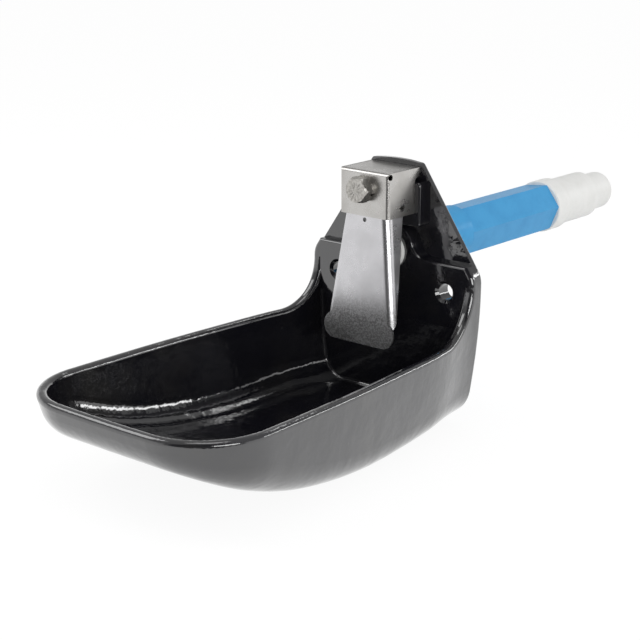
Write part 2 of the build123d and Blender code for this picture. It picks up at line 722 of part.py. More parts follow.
def push_button():
    """Domed button that the tongue presses on."""
    head = disc_on_pipe(button_diameter / 2, button_front, button_front + button_head)
    radius = (button_diameter ** 2 / 4 + button_crown ** 2) / (2 * button_crown)
    head = head & Location((0, button_front + radius, outlet_height)) * Sphere(radius)
    hub = disc_on_pipe(button_hub / 2, button_front + button_crown, button_front + button_length)
    bore = disc_on_pipe(rod_diameter / 2 + fitting_clearance, button_front + button_head - fitting_clearance, 0)
    return head + hub - bore


def button_lock_nut():
    """Hexagon nut that locks the push button on the rod."""
    start = button_front + button_length
    corners = button_nut_flats / math.cos(math.radians(30))
    face = RegularPolygon(corners / 2, 6) - Circle(rod_diameter / 2 + fitting_clearance)
    return extrude(along_pipe(start) * face, button_nut_thickness)


def valve_disc():
    """Rubber disc that closes on the seat's lip."""
    return ring_on_pipe(disc_diameter / 2, rod_spigot / 2 + running_clearance, disc_front, plunger_front)


def valve_plunger():
    """Brass plunger behind the disc, with a hub inside the spring and a long spindle."""
    body = disc_on_pipe(plunger_diameter / 2, plunger_front, spring_front)
    body = body + disc_on_pipe(plunger_hub / 2, spring_front - 1, spring_front + plunger_hub_length)
    spindle = disc_on_pipe(spindle_diameter / 2, spring_front, spindle_end)
    spindle = fillet(spindle.edges().sort_by(Axis.Y)[-1], spindle_diameter / 2 - 0.3)
    groove = ring_on_pipe(spindle_diameter, spindle_diameter / 2 - clip_groove, clip_station,
                          clip_station + clip_thickness + running_clearance)
    body = body + (spindle - groove)
    return body - disc_on_pipe(rod_spigot / 2 + running_clearance, plunger_front - 1,
                               disc_front + rod_spigot_length + rest_gap)


def retaining_clip():
    """Clip on the spindle behind the cap. It stops the valve's parts from falling out."""
    ring = Circle(clip_diameter / 2) - Circle(spindle_diameter / 2 - clip_groove + running_clearance)
    gap = Pos(0, -clip_diameter / 2) * Rectangle(clip_gap, clip_diameter)
    return extrude(along_pipe(clip_station + running_clearance / 2) * (ring - gap), clip_thickness)


def valve_spring():
    """Coil spring that closes the valve."""
    start, end = spring_front + spring_wire / 2, spring_end - spring_wire / 2
    pitch = (end - start) / spring_turns
    path = along_pipe(start) * Helix(pitch, end - start, spring_coil / 2)
    section = Plane(origin=path @ 0, z_dir=path % 0) * Circle(spring_wire / 2)
    return sweep(section, path=path)


def build():
    pieces = {
        "bowl_casting": bowl_casting(),
        "valve_hood": valve_hood(),
        "hood_bolt": hood_bolt(),
        "lock_washer": lock_washer(),
        "pivot_pin": pivot_pin(),
        "tongue": tongue(),
        "pivot_bush_left": pivot_bush(-1),
        "pivot_bush_right": pivot_bush(1),
        "outlet_bush": outlet_bush(),
        "pipe_gasket": pipe_gasket(),
        "hex_sleeve": hex_sleeve(),
        "water_pipe": water_pipe(),
        "rod_guide_front": rod_guide(guide_shares[0] * sleeve_length),
        "rod_guide_rear": rod_guide(guide_shares[1] * sleeve_length),
        "union_nut": union_nut(),
        "valve_housing": valve_housing(),
        "pipe_seal": seal_ring(pipe_diameter / 2, pipe_seal_section, pipe_seal_station),
        "valve_seat": valve_seat(),
        "end_cap": end_cap(),
        "cap_seal": seal_ring(chamber_radius - cap_seal_section - 2 * running_clearance, cap_seal_section,
                              cap_seal_station),
        "spindle_seal": seal_ring(spindle_diameter / 2, spindle_seal_section, spindle_seal_station),
        "inlet_insert": inlet_insert(),
        "push_rod": push_rod(),
        "push_button": push_button(),
        "button_lock_nut": button_lock_nut(),
        "valve_disc": valve_disc(),
        "valve_plunger": valve_plunger(),
        "retaining_clip": retaining_clip(),
        "valve_spring": valve_spring(),
    }
    os.makedirs("parts", exist_ok=True)
    for name, piece in pieces.items():
        export_step(piece, f"parts/{name}.step")


if __name__ == "__main__":
    build()
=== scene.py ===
import logging
import math
from dataclasses import dataclass, field
from enum import Enum

import bpy
from mathutils import Matrix, Vector
from mathutils.bvhtree import BVHTree


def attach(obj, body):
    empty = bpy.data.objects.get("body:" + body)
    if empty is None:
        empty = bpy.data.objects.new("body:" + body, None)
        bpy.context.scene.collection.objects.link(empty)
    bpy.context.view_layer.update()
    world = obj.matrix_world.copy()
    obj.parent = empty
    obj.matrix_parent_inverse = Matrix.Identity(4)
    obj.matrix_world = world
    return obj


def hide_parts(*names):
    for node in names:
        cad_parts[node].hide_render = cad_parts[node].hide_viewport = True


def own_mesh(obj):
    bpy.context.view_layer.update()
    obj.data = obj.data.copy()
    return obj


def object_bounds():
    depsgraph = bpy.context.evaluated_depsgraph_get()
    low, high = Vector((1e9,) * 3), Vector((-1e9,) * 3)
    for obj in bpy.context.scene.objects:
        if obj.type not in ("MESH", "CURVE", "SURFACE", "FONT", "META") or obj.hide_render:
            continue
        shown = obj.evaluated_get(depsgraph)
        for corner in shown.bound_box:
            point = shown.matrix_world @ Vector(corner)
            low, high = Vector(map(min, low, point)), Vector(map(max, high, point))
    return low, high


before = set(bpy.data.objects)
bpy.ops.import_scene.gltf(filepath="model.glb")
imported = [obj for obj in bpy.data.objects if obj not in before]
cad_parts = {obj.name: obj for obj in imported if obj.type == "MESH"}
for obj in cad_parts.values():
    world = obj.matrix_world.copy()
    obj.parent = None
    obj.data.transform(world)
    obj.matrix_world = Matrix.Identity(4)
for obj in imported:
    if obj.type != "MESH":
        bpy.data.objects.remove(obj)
CAD_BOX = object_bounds()

LOG = logging.getLogger("drinking_bowl")

Pair = tuple[float, float]
Triple = tuple[float, float, float]
Socket = bpy.types.NodeSocket


# ---------------------------------------------------------------- node trees
class Tree:
    """The node tree of one finish, with short calls for the nodes that the finishes share."""

    def __init__(self, tree: bpy.types.NodeTree) -> None:
        """Empties the tree.

        Args:
            tree: The node tree of a material or of the world.
        """
        self.tree = tree
        self.tree.nodes.clear()

    def node(self, kind: str, **values: object) -> bpy.types.Node:
        """Adds a node.

        Args:
            kind: The node's type name.
            values: Properties set on the node.

        Returns:
            The new node.
        """
        made = self.tree.nodes.new(kind)
        for name, value in values.items():
            setattr(made, name, value)
        return made

    def feed(self, socket: Socket, value: object) -> None:
        """Links a socket into an input, or sets a plain value on it.

        Args:
            socket: The input.
            value: A socket, a number or a tuple.
        """
        if isinstance(value, Socket):
            self.tree.links.new(value, socket)
        else:
            socket.default_value = value

    def place(self, centre: Triple = (0.0, 0.0, 0.0), scale: Triple = (1.0, 1.0, 1.0),
              turn: Triple = (0.0, 0.0, 0.0)) -> Socket:
        """Object coordinates, moved to a centre, turned and stretched.

        Args:
            centre: The point in metres that becomes the pattern's origin.
            scale: How much the pattern is squeezed along each axis.
            turn: The pattern's turn in degrees.

        Returns:
            A vector socket.
        """
        source = self.node("ShaderNodeTexCoord").outputs["Object"]
        moved = self.node("ShaderNodeVectorMath", operation="SUBTRACT")
        self.feed(moved.inputs[0], source)
        moved.inputs[1].default_value = centre
        mapping = self.node("ShaderNodeMapping")
        self.feed(mapping.inputs["Vector"], moved.outputs[0])
        mapping.inputs["Rotation"].default_value = [math.radians(angle) for angle in turn]
        mapping.inputs["Scale"].default_value = scale
        return mapping.outputs["Vector"]

    def noise(self, where: Socket, scale: float, detail: float = 2.0, roughness: float = 0.5,
              distortion: float = 0.0) -> Socket:
        """Soft noise.

        Args:
            where: The coordinates.
            scale: Features per metre.
            detail: Octaves.
            roughness: How strong the fine octaves are.
            distortion: How much the pattern is pulled about.

        Returns:
            A value socket from 0 to 1.
        """
        made = self.node("ShaderNodeTexNoise")
        self.feed(made.inputs["Vector"], where)
        made.inputs["Scale"].default_value = scale
        made.inputs["Detail"].default_value = detail
        made.inputs["Roughness"].default_value = roughness
        made.inputs["Distortion"].default_value = distortion
        return made.outputs["Fac"]

    def cells(self, where: Socket, scale: float) -> Socket:
        """Distance to the nearest of many scattered points.

        Args:
            where: The coordinates.
            scale: Points per metre.

        Returns:
            A value socket.
        """
        made = self.node("ShaderNodeTexVoronoi")
        self.feed(made.inputs["Vector"], where)
        made.inputs["Scale"].default_value = scale
        return made.outputs["Distance"]

    def spread(self, value: Socket, band: Pair, ends: Pair = (0.0, 1.0)) -> Socket:
        """Maps a value from one range to another, clamped and smooth.

        Args:
            value: The value to map.
            band: The lower and upper end of its range.
            ends: What the lower and the upper end become.

        Returns:
            A value socket.
        """
        made = self.node("ShaderNodeMapRange", interpolation_type="SMOOTHSTEP")
        self.feed(made.inputs["Value"], value)
        for name, number in zip(("From Min", "From Max", "To Min", "To Max"), (*band, *ends)):
            made.inputs[name].default_value = number
        return made.outputs["Result"]

    def sums(self, operation: str, first: object, second: object = 0.0) -> Socket:
        """One sum on values.

        Args:
            operation: The Math node's operation.
            first: The first value.
            second: The second value.

        Returns:
            A value socket.
        """
        made = self.node("ShaderNodeMath", operation=operation)
        self.feed(made.inputs[0], first)
        self.feed(made.inputs[1], second)
        return made.outputs[0]

    def tint(self, factor: Socket, first: Triple | Socket, second: Triple) -> Socket:
        """Blends two colours.

        Args:
            factor: 0 for the first and 1 for the second.
            first: A colour, or a colour socket.
            second: A colour.

        Returns:
            A colour socket.
        """
        made = self.node("ShaderNodeMix", data_type="RGBA")
        self.feed(made.inputs[0], factor)
        self.feed(made.inputs[6], first if isinstance(first, Socket) else (*first, 1.0))
        made.inputs[7].default_value = (*second, 1.0)
        return made.outputs[2]

    def relief(self, height: Socket, depth: float, under: Socket | None = None) -> Socket:
        """A bump.

        Args:
            height: The height pattern.
            depth: The depth in metres of a height of 1.
            under: The bump that this one lies on.

        Returns:
            A normal socket.
        """
        made = self.node("ShaderNodeBump")
        self.feed(made.inputs["Height"], height)
        made.inputs["Distance"].default_value = depth
        if under is not None:
            self.feed(made.inputs["Normal"], under)
        return made.outputs["Normal"]

    def axes(self, where: Socket) -> dict[str, Socket]:
        """Splits a vector.

        Args:
            where: The vector.

        Returns:
            Its value sockets by axis name.
        """
        made = self.node("ShaderNodeSeparateXYZ")
        self.feed(made.inputs[0], where)
        return {name: made.outputs[name] for name in "XYZ"}

    def surface(self, **values: object) -> None:
        """Ends a material in one Principled shader.

        Args:
            values: Input names, with underscores for spaces, and their values or sockets.
        """
        shader = self.node("ShaderNodeBsdfPrincipled")
        for name, value in values.items():
            if isinstance(value, tuple) and len(value) == 3 and name == "Base_Color":
                value = (*value, 1.0)
            self.feed(shader.inputs[name.replace("_", " ")], value)
        output = self.node("ShaderNodeOutputMaterial")
        self.feed(output.inputs["Surface"], shader.outputs["BSDF"])


def new_material(name: str) -> tuple[bpy.types.Material, Tree]:
    """A new node material and its tree.

    Args:
        name: The material's name.

    Returns:
        The material and its emptied tree.
    """
    material = bpy.data.materials.new(name)
    material.use_nodes = True
    return material, Tree(material.node_tree)


def new_object(name: str, data: bpy.types.ID) -> bpy.types.Object:
    """Puts an object in the scene.

    Args:
        name: The object's name.
        data: Its mesh, light or camera.

    Returns:
        The linked object.
    """
    made = bpy.data.objects.new(name, data)
    bpy.context.scene.collection.objects.link(made)
    return made


# ---------------------------------------------------------------- finishes
class Grain(Enum):
    """How a sheet's surface was worked, as the stretch of its grain along X, Y and Z."""

    ROLLED = (0.12, 1.0, 1.0)
    TUMBLED = (1.0, 1.0, 1.0)


@dataclass(frozen=True)
class BlackEnamel:
    """Glossy black enamel, dipped over rough cast iron."""

    colour: Triple = (0.0070, 0.0070, 0.0100)
    dust: Triple = (0.02, 0.019, 0.018)
    lump_scale: float = 40.0
    lump_depth: float = 0.0006
    ripple_scale: float = 150.0
    ripple_depth: float = 0.0002
    fine_scale: float = 900.0
    fine_depth: float = 0.000018
    pit_scale: float = 95.0
    pit_depth: float = 0.00012
    gloss_scale: float = 38.0
    pit_band: Pair = (0.02, 0.07)
    gloss_band: Pair = (0.3, 0.75)
    film_scale: float = 14.0
    film_band: Pair = (0.45, 0.8)
    gloss: Pair = (0.05, 0.12)
    ior: float = 1.82
    coat: float = 0.6
    coat_ior: float = 1.6
    coat_roughness: float = 0.04

    def material(self) -> bpy.types.Material:
        """Builds the enamel: broad casting lumps, ripple, pinholes and a fine grain."""
        material, tree = new_material("black_enamel")
        where = tree.place()
        lumps = tree.noise(where, self.lump_scale, detail=1.0, roughness=0.4, distortion=0.2)
        ripple = tree.noise(where, self.ripple_scale, detail=2.0, roughness=0.45, distortion=0.2)
        fine = tree.noise(where, self.fine_scale, detail=2.0, roughness=0.5)
        pits = tree.spread(tree.cells(where, self.pit_scale), self.pit_band)
        normal = tree.relief(lumps, self.lump_depth)
        normal = tree.relief(ripple, self.ripple_depth, normal)
        normal = tree.relief(pits, self.pit_depth, normal)
        normal = tree.relief(fine, self.fine_depth, normal)
        haze = tree.noise(where, self.gloss_scale, detail=4.0, roughness=0.6)
        rough = tree.spread(haze, self.gloss_band, self.gloss)
        film = tree.spread(tree.noise(where, self.film_scale, detail=5.0, roughness=0.65), self.film_band)
        tree.surface(Base_Color=tree.tint(film, self.colour, self.dust), Roughness=rough, IOR=self.ior,
                     Normal=normal, Coat_Weight=self.coat, Coat_Roughness=self.coat_roughness,
                     Coat_IOR=self.coat_ior, Coat_Normal=normal)
        return material


@dataclass(frozen=True)
class SheetSteel:
    """Satin stainless sheet, with a grain along one axis and, if it has one, a dull foot whose darker colour is
    a painted reflection of the dark bowl.
    """

    name: str
    colour: Triple
    worn: Triple
    grain: Grain
    rough: Pair
    # The foot's colour, a painted dark reflection of the bowl; the foot is also rougher and grittier.
    dull_and_painted_reflection: Triple = (0.2, 0.2, 0.2)
    dull_and_painted_reflection_from: float | None = None
    dull_and_painted_reflection_to: float | None = None
    dull_and_painted_reflection_scale: float = 30.0
    dull_and_painted_reflection_wander: float = 0.012
    dull_rough: float = 0.06
    speck_scale: float = 720.0
    speck_band: Pair = (0.42, 0.60)
    speck_fill: Pair = (1.2, -0.8)
    speck_height: float = 1.2
    line_scale: float = 2600.0
    line_depth: float = 0.000022
    grit_scale: float = 1500.0
    grit_depth: float = 0.000016
    cloud_scale: float = 42.0
    cloud_depth: float = 0.00003
    cloud_share: float = 0.55
    grit_share: float = 0.45
    shade_band: Pair = (0.3, 0.75)
    rough_band: Pair = (0.25, 0.8)
    scratch_scale: float = 420.0
    scratch_band: Pair = (0.66, 0.72)
    scratch_stretch: Triple = (1.0, 1.0, 0.08)
    scratch_turn: Triple = (18.0, 31.0, 12.0)
    scratch_depth: float = 0.00001

    def material(self) -> bpy.types.Material:
        """Builds the sheet's finish."""
        material, tree = new_material(self.name)
        where = tree.place()
        lines = tree.noise(tree.place(scale=self.grain.value), self.line_scale, detail=3.0, roughness=0.6)
        grit = tree.noise(where, self.grit_scale, detail=3.0, roughness=0.7)
        cloud = tree.noise(where, self.cloud_scale, detail=4.0, roughness=0.6)
        slanted = tree.place(scale=self.scratch_stretch, turn=self.scratch_turn)
        scratch = tree.spread(tree.noise(slanted, self.scratch_scale, detail=1.0), self.scratch_band)
        shade = tree.sums("MULTIPLY", tree.spread(cloud, self.shade_band), self.cloud_share)
        shade = tree.sums("ADD", shade, tree.sums("MULTIPLY", grit, self.grit_share))
        rough = tree.spread(cloud, self.rough_band, self.rough)
        etched_and_painted_reflection = None
        # The foot, below a wavering edge between the two heights: rougher, grittier and painted darker in
        # specks; the dark colour is a painted reflection of the bowl.
        if self.dull_and_painted_reflection_from is not None and self.dull_and_painted_reflection_to is not None:
            wander = tree.sums("MULTIPLY", tree.noise(where, self.dull_and_painted_reflection_scale, detail=3.0), self.dull_and_painted_reflection_wander)
            edge = tree.sums("ADD", tree.axes(where)["Z"], wander)
            dull_and_painted_reflection = tree.spread(edge, (self.dull_and_painted_reflection_to, self.dull_and_painted_reflection_from), (1.0, 0.0))
            specks = tree.noise(where, self.speck_scale, detail=2.0, roughness=0.8)
            specks = tree.spread(specks, self.speck_band)
            base, cut = self.speck_fill
            etched_and_painted_reflection = tree.sums("MULTIPLY", dull_and_painted_reflection, tree.sums("ADD", tree.sums("MULTIPLY", specks, cut), base))
            rough = tree.sums("ADD", rough, tree.sums("MULTIPLY", dull_and_painted_reflection, self.dull_rough))
            grit = tree.sums("ADD", grit, tree.sums("MULTIPLY", etched_and_painted_reflection, self.speck_height))
        normal = tree.relief(lines, self.line_depth)
        normal = tree.relief(grit, self.grit_depth, normal)
        normal = tree.relief(cloud, self.cloud_depth, normal)
        normal = tree.relief(scratch, self.scratch_depth, normal)
        colour = tree.tint(shade, self.colour, self.worn)
        # Painted reflection: the foot's colour is darkened.
        if etched_and_painted_reflection is not None:
            colour = tree.tint(etched_and_painted_reflection, colour, self.dull_and_painted_reflection)
        tree.surface(Base_Color=colour, Metallic=1.0, Roughness=rough, Normal=normal)
        return material


@dataclass(frozen=True)
class TurnedMetal:
    """A drawn, plated or turned metal part."""

    name: str
    colour: Triple
    stain: Triple
    rough: Pair
    rings: float = 0.0
    mottle: float = 160.0
    stain_band: Pair = (0.38, 0.75)
    rough_band: Pair = (0.25, 0.8)
    ring_stretch: Triple = (0.02, 1.0, 0.02)
    ring_depth: float = 0.00003
    grit_scale: float = 2100.0
    grit_depth: float = 0.000015
    mottle_depth: float = 0.00008

    def material(self) -> bpy.types.Material:
        """Builds the metal: turning rings along the pipe's axis, mottle and stains."""
        material, tree = new_material(self.name)
        where = tree.place()
        mottle = tree.noise(where, self.mottle, detail=4.0, roughness=0.65)
        grit = tree.noise(where, self.grit_scale, detail=2.0, roughness=0.6)
        normal = tree.relief(grit, self.grit_depth)
        if self.rings > 0.0:
            ring = tree.noise(tree.place(scale=self.ring_stretch), self.rings, detail=2.0, roughness=0.5)
            normal = tree.relief(ring, self.ring_depth, normal)
        normal = tree.relief(mottle, self.mottle_depth, normal)
        stained = tree.tint(tree.spread(mottle, self.stain_band), self.colour, self.stain)
        rough = tree.spread(mottle, self.rough_band, self.rough)
        tree.surface(Base_Color=stained, Metallic=1.0, Roughness=rough, Normal=normal)
        return material


@dataclass(frozen=True)
class ZincPlate:
    """Dull zinc plating, with the marks of the forging die on the bolt's head."""

    axis: Triple
    colour: Triple = (0.55, 0.535, 0.505)
    stain: Triple = (0.36, 0.345, 0.32)
    spoke_count: float = 14.0
    spoke_start: Pair = (0.0012, 0.0035)
    spoke_end: Pair = (0.0085, 0.0060)
    spoke_depth: float = 0.00010
    crystal_scale: float = 900.0
    crystal_depth: float = 0.00006
    mottle_scale: float = 420.0
    mottle_depth: float = 0.00014
    stain_band: Pair = (0.35, 0.7)
    rough_band: Pair = (0.3, 0.8)
    rough: Pair = (0.30, 0.52)

    def material(self) -> bpy.types.Material:
        """Builds the plating, with spokes round the bolt's axis."""
        material, tree = new_material("zinc_plate")
        where = tree.place(centre=self.axis)
        axes = tree.axes(where)
        angle = tree.sums("ARCTAN2", axes["Z"], axes["X"])
        spokes = tree.sums("SINE", tree.sums("MULTIPLY", angle, self.spoke_count))
        squares = [tree.sums("MULTIPLY", axes[name], axes[name]) for name in "XZ"]
        radius = tree.sums("POWER", tree.sums("ADD", *squares), 0.5)
        inner, outer = tree.spread(radius, self.spoke_start), tree.spread(radius, self.spoke_end)
        band = tree.sums("MULTIPLY", inner, outer)
        mottle = tree.noise(where, self.mottle_scale, detail=4.0, roughness=0.7)
        crystals = tree.cells(where, self.crystal_scale)
        normal = tree.relief(tree.sums("MULTIPLY", spokes, band), self.spoke_depth)
        normal = tree.relief(crystals, self.crystal_depth, normal)
        normal = tree.relief(mottle, self.mottle_depth, normal)
        stained = tree.tint(tree.spread(mottle, self.stain_band), self.colour, self.stain)
        rough = tree.spread(mottle, self.rough_band, self.rough)
        tree.surface(Base_Color=stained, Metallic=1.0, Roughness=rough, Normal=normal)
        return material


@dataclass(frozen=True)
class MouldedPlastic:
    """Moulded or extruded plastic, a little uneven, with a soft sheen."""

    name: str
    colour: Triple
    shade: Triple
    rough: Pair
    wave: float = 0.00025
    wave_scale: float = 34.0
    drawn: float = 1.0
    line_scale: float = 700.0
    line_depth: float = 0.00002
    grain_scale: float = 1600.0
    grain_depth: float = 0.000012
    cloud_scale: float = 60.0
    cloud_band: Pair = (0.35, 0.8)
    rough_band: Pair = (0.3, 0.7)
    ior: float = 1.5
    specular: float = 0.12

    def material(self) -> bpy.types.Material:
        """Builds the plastic: sink marks, fine moulding grain and faint drawing lines."""
        material, tree = new_material(self.name)
        where = tree.place()
        sink = tree.noise(where, self.wave_scale, detail=2.0, roughness=0.4)
        grain = tree.noise(where, self.grain_scale, detail=2.0, roughness=0.6)
        drawn = tree.place(scale=(1.0, self.drawn, 1.0))
        lines = tree.noise(drawn, self.line_scale, detail=2.0, roughness=0.5)
        cloud = tree.spread(tree.noise(where, self.cloud_scale, detail=4.0, roughness=0.65), self.cloud_band)
        normal = tree.relief(sink, self.wave)
        normal = tree.relief(lines, self.line_depth, normal)
        normal = tree.relief(grain, self.grain_depth, normal)
        tree.surface(Base_Color=tree.tint(cloud, self.colour, self.shade), Specular_IOR_Level=self.specular,
                     Roughness=tree.spread(grain, self.rough_band, self.rough), IOR=self.ior, Normal=normal)
        return material


@dataclass(frozen=True)
class SealRubber:
    """Matt black rubber with a bloom."""

    colour: Triple = (0.018, 0.018, 0.019)
    bloom: Triple = (0.05, 0.049, 0.047)
    bloom_scale: float = 240.0
    grain_scale: float = 1900.0
    grain_depth: float = 0.00003
    bloom_band: Pair = (0.4, 0.8)
    rough_band: Pair = (0.3, 0.8)
    rough: Pair = (0.55, 0.8)

    def material(self) -> bpy.types.Material:
        """Builds the rubber: a fine grain under patches of bloom."""
        material, tree = new_material("seal_rubber")
        where = tree.place()
        bloom = tree.noise(where, self.bloom_scale, detail=4.0, roughness=0.7)
        grain = tree.noise(where, self.grain_scale, detail=2.0, roughness=0.6)
        tree.surface(Base_Color=tree.tint(tree.spread(bloom, self.bloom_band), self.colour, self.bloom),
                     Roughness=tree.spread(bloom, self.rough_band, self.rough),
                     Normal=tree.relief(grain, self.grain_depth))
        return material


# ---------------------------------------------------------------- sub-assemblies
@dataclass
class SubAssembly:
    """Some CAD nodes that are dressed together."""

    title: str = ""
    dressed: dict[str, bpy.types.Material] = field(default_factory=dict)

    def dress(self) -> None:
        """Gives each node its finish, in the node's own material slots."""
        for name, material in self.dressed.items():
            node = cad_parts[name]
            if not node.material_slots:
                node.data.materials.append(material)
            for slot in node.material_slots:
                slot.material = material
            LOG.info("%s: %s in %s", self.title, name, material.name)


@dataclass
class BowlAndPlate(SubAssembly):
    """The enamelled casting, with the enamel that has gathered in the basin's inner corner."""

    title: str = "bowl and plate"
    enamel: BlackEnamel = BlackEnamel()
    plate_front: float = -0.0133
    bead_radius: float = 0.0024
    bead_sink: float = 0.0003
    bead_sweep: Pair = (160.0, 380.0)
    bead_eye: float = -0.045
    bead_stations: int = 120
    bead_facets: int = 8
    bead_reach: int = 2
    bead_sharp: float = 40.0

    def build(self) -> None:
        """Dresses the casting and lays the bead."""
        finish = self.enamel.material()
        self.dressed = {"bowl_casting": finish}
        self.dress()
        bead = self.corner_bead(finish)
        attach(bead, "bowl")
        LOG.info("%s: corner bead with %d faces", self.title, len(bead.data.polygons))

    def corner_stations(self) -> list[tuple[Vector, Vector]]:
        """Finds the corner between the basin's inside and the plate.

        Returns:
            Points along the corner, each with the direction away from the basin's wall.
        """
        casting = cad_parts["bowl_casting"]
        mesh = casting.data
        surface = BVHTree.FromPolygons([casting.matrix_world @ vertex.co for vertex in mesh.vertices],
                                       [tuple(face.vertices) for face in mesh.polygons])
        eye = Vector((0.0, self.plate_front - self.bead_radius, self.bead_eye))
        first, last = self.bead_sweep
        points: list[Vector] = []
        for step in range(self.bead_stations + 1):
            angle = math.radians(first + (last - first) * step / self.bead_stations)
            place = surface.ray_cast(eye, Vector((math.cos(angle), 0.0, math.sin(angle))))[0]
            if place is not None:
                points.append(Vector((place.x, self.plate_front, place.z)))
        stations = []
        for index, point in enumerate(points):
            ahead, behind = min(index + self.bead_reach, len(points) - 1), max(index - self.bead_reach, 0)
            along = points[ahead] - points[behind]
            stations.append((point, Vector((-along.z, 0.0, along.x)).normalized()))
        return stations

    def corner_bead(self, finish: bpy.types.Material) -> bpy.types.Object:
        """Lays a hollow-faced bead along the corner.

        Args:
            finish: The enamel.

        Returns:
            The bead, as a closed mesh.
        """
        forward = Vector((0.0, -1.0, 0.0))
        radius, sink = self.bead_radius, self.bead_sink
        vertices: list[Vector] = []
        stations = self.corner_stations()
        for corner, inward in stations:
            centre = corner + (forward + inward) * radius
            vertices.append(corner - (forward + inward) * sink)
            vertices.append(corner + forward * radius - inward * sink)
            for facet in range(self.bead_facets + 1):
                turn = math.radians(90.0) * facet / self.bead_facets
                vertices.append(centre - (inward * math.cos(turn) + forward * math.sin(turn)) * radius)
            vertices.append(corner + inward * radius - forward * sink)
        around = len(vertices) // len(stations)
        faces = [tuple(range(around)), tuple(reversed(range(len(vertices) - around, len(vertices))))]
        for row in range(len(stations) - 1):
            for side in range(around):
                start, end = row * around + side, row * around + (side + 1) % around
                faces.append((end, start, start + around, end + around))
        mesh = bpy.data.meshes.new("corner_bead")
        mesh.from_pydata([tuple(vertex) for vertex in vertices], [], faces)
        mesh.shade_smooth()
        mesh.set_sharp_from_angle(angle=math.radians(self.bead_sharp))
        mesh.materials.append(finish)
        return new_object("corner_bead", mesh)


@dataclass
class HoodAndBolt(SubAssembly):
    """The folded hood, its bolt and washer, and the pin that the tongue hangs on."""

    title: str = "hood and bolt"
    bolt_axis: Triple = (0.0, -0.0456, 0.0785)
    sheet: SheetSteel = SheetSteel("hood_steel", (0.56, 0.55, 0.535), (0.43, 0.415, 0.395), Grain.ROLLED,
                                   (0.24, 0.36))
    pin: TurnedMetal = TurnedMetal("pin_steel", (0.80, 0.79, 0.77), (0.58, 0.56, 0.54), (0.16, 0.30))

    def build(self) -> None:
        """Dresses the hood's pieces."""
        plate = ZincPlate(self.bolt_axis).material()
        self.dressed = {"valve_hood": self.sheet.material(), "hood_bolt": plate, "lock_washer": plate,
                        "pivot_pin": self.pin.material()}
        self.dress()


@dataclass
class Tongue(SubAssembly):
    """The pressed tongue and its two bushes."""

    title: str = "tongue"
    # The tongue's lower end is painted darker in specks: a painted reflection of the dark bowl. It is also
    # rougher there.
    sheet: SheetSteel = SheetSteel("tongue_steel", (0.65, 0.645, 0.665), (0.55, 0.545, 0.56), Grain.TUMBLED,
                                   (0.25, 0.33), dull_and_painted_reflection=(0.26, 0.26, 0.26), dull_and_painted_reflection_from=0.008, dull_and_painted_reflection_to=-0.024)

    def build(self, nylon: bpy.types.Material) -> None:
        """Dresses the tongue.

        Args:
            nylon: The finish of the bushes.
        """
        self.dressed = {"tongue": self.sheet.material(), "pivot_bush_left": nylon, "pivot_bush_right": nylon}
        self.dress()


@dataclass
class PipeAndSleeve(SubAssembly):
    """The water pipe, its insulating sleeve, its gasket and the bushes that carry the rod."""

    title: str = "pipe and sleeve"
    sleeve: MouldedPlastic = MouldedPlastic("blue_plastic", (0.068, 0.335, 0.635), (0.055, 0.29, 0.575),
                                            (0.28, 0.42), wave=0.0003, drawn=0.04)
    pipe: TurnedMetal = TurnedMetal("pipe_steel", (0.50, 0.50, 0.49), (0.34, 0.34, 0.33), (0.3, 0.5),
                                    mottle=90.0)

    def build(self, white: bpy.types.Material, rubber: bpy.types.Material) -> None:
        """Dresses the pipe's pieces.

        Args:
            white: The finish of the plastic bushes and guides.
            rubber: The finish of the gasket.
        """
        self.dressed = {"hex_sleeve": self.sleeve.material(), "water_pipe": self.pipe.material(),
                        "outlet_bush": white, "rod_guide_front": white, "rod_guide_rear": white,
                        "pipe_gasket": rubber}
        self.dress()


